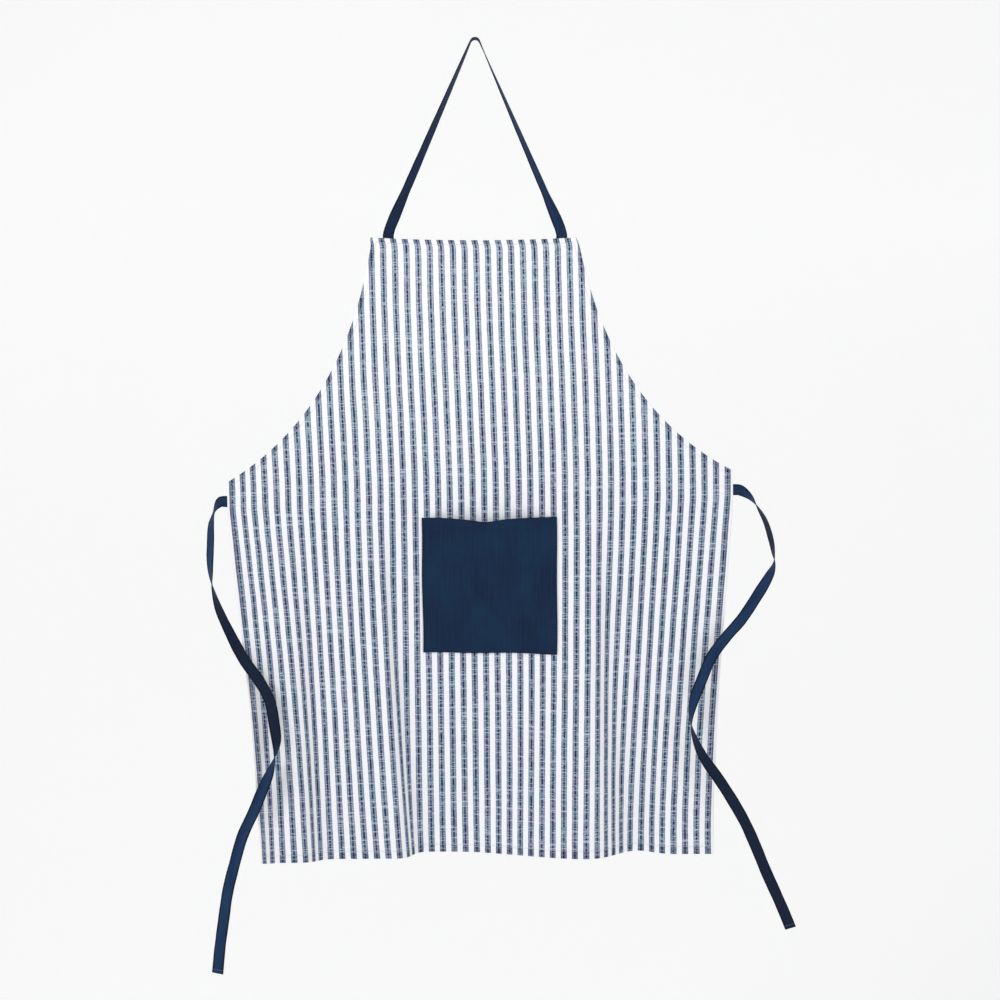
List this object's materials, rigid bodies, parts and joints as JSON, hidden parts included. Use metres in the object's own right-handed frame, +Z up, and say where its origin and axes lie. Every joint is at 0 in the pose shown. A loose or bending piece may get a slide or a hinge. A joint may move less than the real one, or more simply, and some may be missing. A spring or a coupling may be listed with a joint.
{
  "type": "butcher apron",
  "caption": "Striped cotton bib apron with a sewn-on patch pocket, hanging by its tape neck loop, with long tape ties at the waist.",
  "frame": {"origin": "the hanging point: the inside of the top of the neck loop, where it rests on a peg", "axes": "+Z up, the front of the apron faces -Y, +X to the right of someone who looks at the front"},
  "size_m": [0.7994, 0.1099, 1.2581],
  "materials": {
    "striped_cloth": "matt woven cotton, white with navy and blue warp stripes",
    "navy_canvas": "matt navy cotton canvas, lightly crumpled",
    "navy_tape": "matt navy cotton twill tape",
    "white_thread": "matt white sewing thread",
    "navy_thread": "matt navy sewing thread"
  },
  "bodies": {
    "neck_loop": {"neck_strap": "navy_tape"},
    "apron": {"body_panel": "striped_cloth", "pocket": "navy_canvas", "neck_tab_left": "navy_tape", "tie_tab_left": "navy_tape", "neck_tab_right": "navy_tape", "tie_tab_right": "navy_tape", "top_hem_thread": "white_thread", "bottom_hem_thread": "white_thread", "side_hem_thread_left": "white_thread", "armhole_thread_left": "white_thread", "side_hem_thread_right": "white_thread", "armhole_thread_right": "white_thread", "pocket_seam_thread": "navy_thread", "pocket_hem_thread": "navy_thread", "neck_anchor_thread_left": "navy_thread", "tie_anchor_thread_left": "navy_thread", "neck_anchor_thread_right": "navy_thread", "tie_anchor_thread_right": "navy_thread"},
    "left_tie": {"tie_left": "navy_tape", "tie_end_thread_left": "navy_thread"},
    "right_tie": {"tie_right": "navy_tape", "tie_end_thread_right": "navy_thread"}
  },
  "joints": [
    {"name": "neck_swing", "type": "hinge", "parent": "neck_loop", "child": "apron", "pos_m": [0, 0.00245, -0.267], "axis": [1, 0, 0], "range_deg": [-90, 90]},
    {"name": "left_tie_swing", "type": "hinge", "parent": "apron", "child": "left_tie", "pos_m": [-0.34094, 0.00245, -0.62908], "axis": [0, 0, 1], "range_deg": [-110, 0]},
    {"name": "right_tie_swing", "type": "hinge", "parent": "apron", "child": "right_tie", "pos_m": [0.35506, 0.00245, -0.61292], "axis": [0, 0, 1], "range_deg": [0, 110]}
  ]
}
